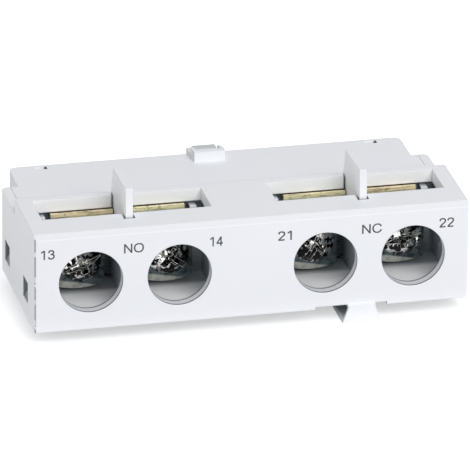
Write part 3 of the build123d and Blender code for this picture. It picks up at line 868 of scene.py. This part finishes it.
class BLOCK_OT_print_numbers(bpy.types.Operator):
    """Print the terminal numbers and the contact letters on the front face"""
    bl_idname = "block.print_numbers"
    bl_label = "Print numbers"

    # Text, middle along X and width in millimetres
    WORDS = (
        ("13", -21.15, 1.44), ("NO", -12.3, 2.05), ("14", -3.8, 1.34),
        ("21", 3.3, 1.44), ("NC", 12.36, 2.07), ("22", 20.16, 1.55),
    )

    # Advance and strokes of each figure in ems, curved strokes marked True
    FIGURES = {
        "1": (0.556, (
            (False, ((0.325, 0.0), (0.325, 0.716))),
            (True, ((0.108, 0.55), (0.21, 0.615), (0.30, 0.70))))),
        "2": (0.556, (
            (True, ((0.075, 0.505), (0.125, 0.64), (0.275, 0.675), (0.42, 0.62), (0.45, 0.50), (0.38, 0.37),
                    (0.20, 0.20), (0.08, 0.045))),
            (False, ((0.06, 0.043), (0.465, 0.043))))),
        "3": (0.556, (
            (True, ((0.075, 0.52), (0.14, 0.645), (0.265, 0.68), (0.40, 0.62), (0.42, 0.52), (0.36, 0.42),
                    (0.22, 0.385))),
            (True, ((0.24, 0.39), (0.38, 0.355), (0.455, 0.22), (0.38, 0.075), (0.25, 0.035), (0.12, 0.08),
                    (0.065, 0.19))))),
        "4": (0.556, (
            (False, ((0.36, 0.68), (0.055, 0.21))),
            (False, ((0.04, 0.21), (0.51, 0.21))),
            (False, ((0.365, 0.0), (0.365, 0.716))))),
        "N": (0.722, (
            (False, ((0.12, 0.0), (0.12, 0.716))),
            (False, ((0.12, 0.69), (0.60, 0.03))),
            (False, ((0.60, 0.0), (0.60, 0.716))))),
        "O": (0.778, (
            (True, ((0.389, 0.68), (0.62, 0.58), (0.69, 0.358), (0.62, 0.136), (0.389, 0.036), (0.158, 0.136),
                    (0.088, 0.358), (0.158, 0.58), (0.389, 0.68))),)),
        "C": (0.722, (
            (True, ((0.635, 0.495), (0.56, 0.63), (0.39, 0.68), (0.20, 0.62), (0.10, 0.46), (0.095, 0.30),
                    (0.17, 0.12), (0.37, 0.035), (0.55, 0.09), (0.645, 0.25))),)),
    }
    STROKE = 0.108

    def draw_word(self, scene, text):
        """Strokes of a word as one mesh, an em high."""
        curve = bpy.data.curves.new(f"print_{text}", "CURVE")
        curve.dimensions = "3D"
        curve.resolution_u = 5
        curve.bevel_depth = self.STROKE / 2
        curve.bevel_resolution = 1
        curve.use_fill_caps = True
        place = 0.0
        for figure in text:
            advance, strokes = self.FIGURES[figure]
            for curved, points in strokes:
                spline = curve.splines.new("BEZIER")
                spline.bezier_points.add(len(points) - 1)
                for point, (across, height) in zip(spline.bezier_points, points):
                    point.co = (place + across, height, 0.0)
                    point.handle_left_type = point.handle_right_type = "AUTO" if curved else "VECTOR"
            place += advance
        words = bpy.data.objects.new(curve.name, curve)
        scene.collection.objects.link(words)
        bpy.context.view_layer.update()
        mesh = bpy.data.meshes.new_from_object(words)
        bpy.data.objects.remove(words)
        return mesh

    def place_word(self, mesh, centre, width, settings):
        """Bring a word to its size and lay it on the front face."""
        top_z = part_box("front_cover")[1][2]
        bm = bmesh.new()
        bm.from_mesh(mesh)
        lowest, highest = (Vector([pick(v.co[axis] for v in bm.verts) for axis in range(3)])
                           for pick in (min, max))
        size = highest - lowest
        scale = (width * MM / size.x, settings.cap_height / size.y, settings.thickness / size.z)
        bmesh.ops.translate(bm, verts=bm.verts, vec=-(lowest + highest) / 2)
        bmesh.ops.scale(bm, verts=bm.verts, vec=scale)
        bmesh.ops.rotate(bm, verts=bm.verts, matrix=Matrix.Rotation(math.pi / 2, 3, "X"))
        bmesh.ops.translate(bm, verts=bm.verts, vec=(centre * MM, FRONT_Y, top_z - settings.drop))
        bm.to_mesh(mesh)
        bm.free()

    def execute(self, context):
        s = context.scene.block_lettering
        ink = printed_ink(s.ink_colour)
        for text, centre, width in self.WORDS:
            mesh = self.draw_word(context.scene, text)
            self.place_word(mesh, centre, width, s)
            piece = new_piece(context.scene, f"print_{text}", mesh, ink)
            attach(piece, "housing")
        return {"FINISHED"}


class BLOCK_OT_set_stage(bpy.types.Operator):
    """Set the floor, the light and the camera"""
    bl_idname = "block.set_stage"
    bl_label = "Set stage"

    FLOOR_HALF_SIZE = 3.0
    SKY_COLOUR = (0.97, 0.985, 1.0, 1.0)
    # Point that the camera aims at, and its shift across and up the picture, in millimetres
    AIM = (0, -13.8, 0.4)
    AIM_SHIFT = (0.0872, -0.2439)

    def execute(self, context):
        s = context.scene.block_stage
        scene = context.scene
        scene.view_settings.view_transform = "Standard"
        self.make_floor(scene, s)
        self.make_world(scene, s)
        self.make_lamp(scene, s)
        self.make_camera(scene, s)
        return {"FINISHED"}

    def seen_rays(self, tree, *kinds):
        """1 for the kinds of ray that see the white studio itself."""
        path = add_node(tree, "ShaderNodeLightPath")
        return largest(tree, *(path.outputs[f"Is {kind} Ray"] for kind in kinds))

    def direction(self, azimuth, elevation):
        """Unit vector from the block, azimuth from the front and elevation from the floor."""
        return Vector((math.sin(azimuth) * math.cos(elevation), -math.cos(azimuth) * math.cos(elevation),
                       math.sin(elevation)))

    def make_floor(self, scene, s):
        bm = bmesh.new()
        bmesh.ops.create_grid(bm, x_segments=1, y_segments=1, size=self.FLOOR_HALF_SIZE)
        bmesh.ops.translate(bm, verts=bm.verts, vec=(0, 0, CAD_BOX[0][2]))
        mesh = bpy.data.meshes.new("floor")
        bm.to_mesh(mesh)
        bm.free()
        material, tree, shader = new_material("Pale floor")
        shader.inputs["Base Color"].default_value = s.floor_colour
        shader.inputs["Roughness"].default_value = 0.9
        glow = add_node(tree, "ShaderNodeEmission")
        lift = product(tree, self.seen_rays(tree, "Camera", "Glossy"), s.floor_lift)
        link(tree, lift, glow.inputs["Strength"])
        total = add_node(tree, "ShaderNodeAddShader")
        link(tree, shader.outputs["BSDF"], total.inputs[0])
        link(tree, glow.outputs["Emission"], total.inputs[1])
        link(tree, total.outputs[0], tree.nodes["Material Output"].inputs["Surface"])
        new_piece(scene, "floor", mesh, material)

    def make_world(self, scene, s):
        world = bpy.data.worlds.new("Studio")
        world.use_nodes = True
        scene.world = world
        tree = world.node_tree
        light = tree.nodes["Background"]
        light.inputs["Color"].default_value = self.SKY_COLOUR
        light.inputs["Strength"].default_value = s.ambient
        white = add_node(tree, "ShaderNodeBackground")
        white.inputs["Color"].default_value = (1, 1, 1, 1)
        mix = add_node(tree, "ShaderNodeMixShader")
        link(tree, self.seen_rays(tree, "Camera", "Glossy", "Transmission"), mix.inputs[0])
        link(tree, light.outputs[0], mix.inputs[1])
        link(tree, white.outputs[0], mix.inputs[2])
        link(tree, mix.outputs[0], tree.nodes["World Output"].inputs["Surface"])

    def make_lamp(self, scene, s):
        lamp = bpy.data.lights.new("key", "AREA")
        lamp.shape = "DISK"
        lamp.size = s.key_size
        lamp.energy = s.key_power
        key = bpy.data.objects.new("key", lamp)
        outward = self.direction(s.key_azimuth, s.key_elevation)
        key.location = outward * s.key_distance
        key.rotation_euler = outward.to_track_quat("Z", "Y").to_euler()
        scene.collection.objects.link(key)

    def make_camera(self, scene, s):
        back = self.direction(s.azimuth, s.elevation)
        right = Vector((math.cos(s.azimuth), math.sin(s.azimuth), 0))
        up = back.cross(right)
        across = right * math.cos(s.roll) + up * math.sin(s.roll)
        upright = up * math.cos(s.roll) - right * math.sin(s.roll)
        aim = (Vector(self.AIM) + across * self.AIM_SHIFT[0] + upright * self.AIM_SHIFT[1]) * MM
        data = bpy.data.cameras.new("camera")
        data.lens = s.lens
        data.sensor_width = 36.0
        camera = bpy.data.objects.new("camera", data)
        turn = Matrix((across, upright, back)).transposed().to_4x4()
        camera.matrix_world = Matrix.Translation(aim + back * s.distance) @ turn
        scene.collection.objects.link(camera)
        scene.camera = camera


class BLOCK_PT_panel(bpy.types.Panel):
    """Steps that dress the contact block"""
    bl_idname = "BLOCK_PT_panel"
    bl_label = "Contact block"
    bl_space_type = "VIEW_3D"
    bl_region_type = "UI"
    bl_category = "Contact block"

    def draw(self, context):
        for operator in OPERATORS:
            self.layout.operator(operator.bl_idname)
        for name in SETTINGS:
            group = getattr(context.scene, name)
            box = self.layout.box()
            for key in group.__annotations__:
                box.prop(group, key)


SETTINGS = {
    "block_mouldings": MouldingSettings,
    "block_terminals": TerminalSettings,
    "block_contacts": ContactSettings,
    "block_lettering": LetteringSettings,
    "block_stage": StageSettings,
}
OPERATORS = (
    BLOCK_OT_finish_mouldings,
    BLOCK_OT_finish_terminals,
    BLOCK_OT_finish_contacts,
    BLOCK_OT_print_numbers,
    BLOCK_OT_set_stage,
)


def register():
    for name, group in SETTINGS.items():
        bpy.utils.register_class(group)
        setattr(bpy.types.Scene, name, bpy.props.PointerProperty(type=group))
    for operator in OPERATORS:
        bpy.utils.register_class(operator)
    bpy.utils.register_class(BLOCK_PT_panel)


def unregister():
    bpy.utils.unregister_class(BLOCK_PT_panel)
    for operator in reversed(OPERATORS):
        bpy.utils.unregister_class(operator)
    for name, group in SETTINGS.items():
        delattr(bpy.types.Scene, name)
        bpy.utils.unregister_class(group)


def main():
    register()
    bpy.ops.block.finish_mouldings()
    bpy.ops.block.finish_terminals()
    bpy.ops.block.finish_contacts()
    bpy.ops.block.print_numbers()
    bpy.ops.block.set_stage()


if __name__ == "__main__":
    main()
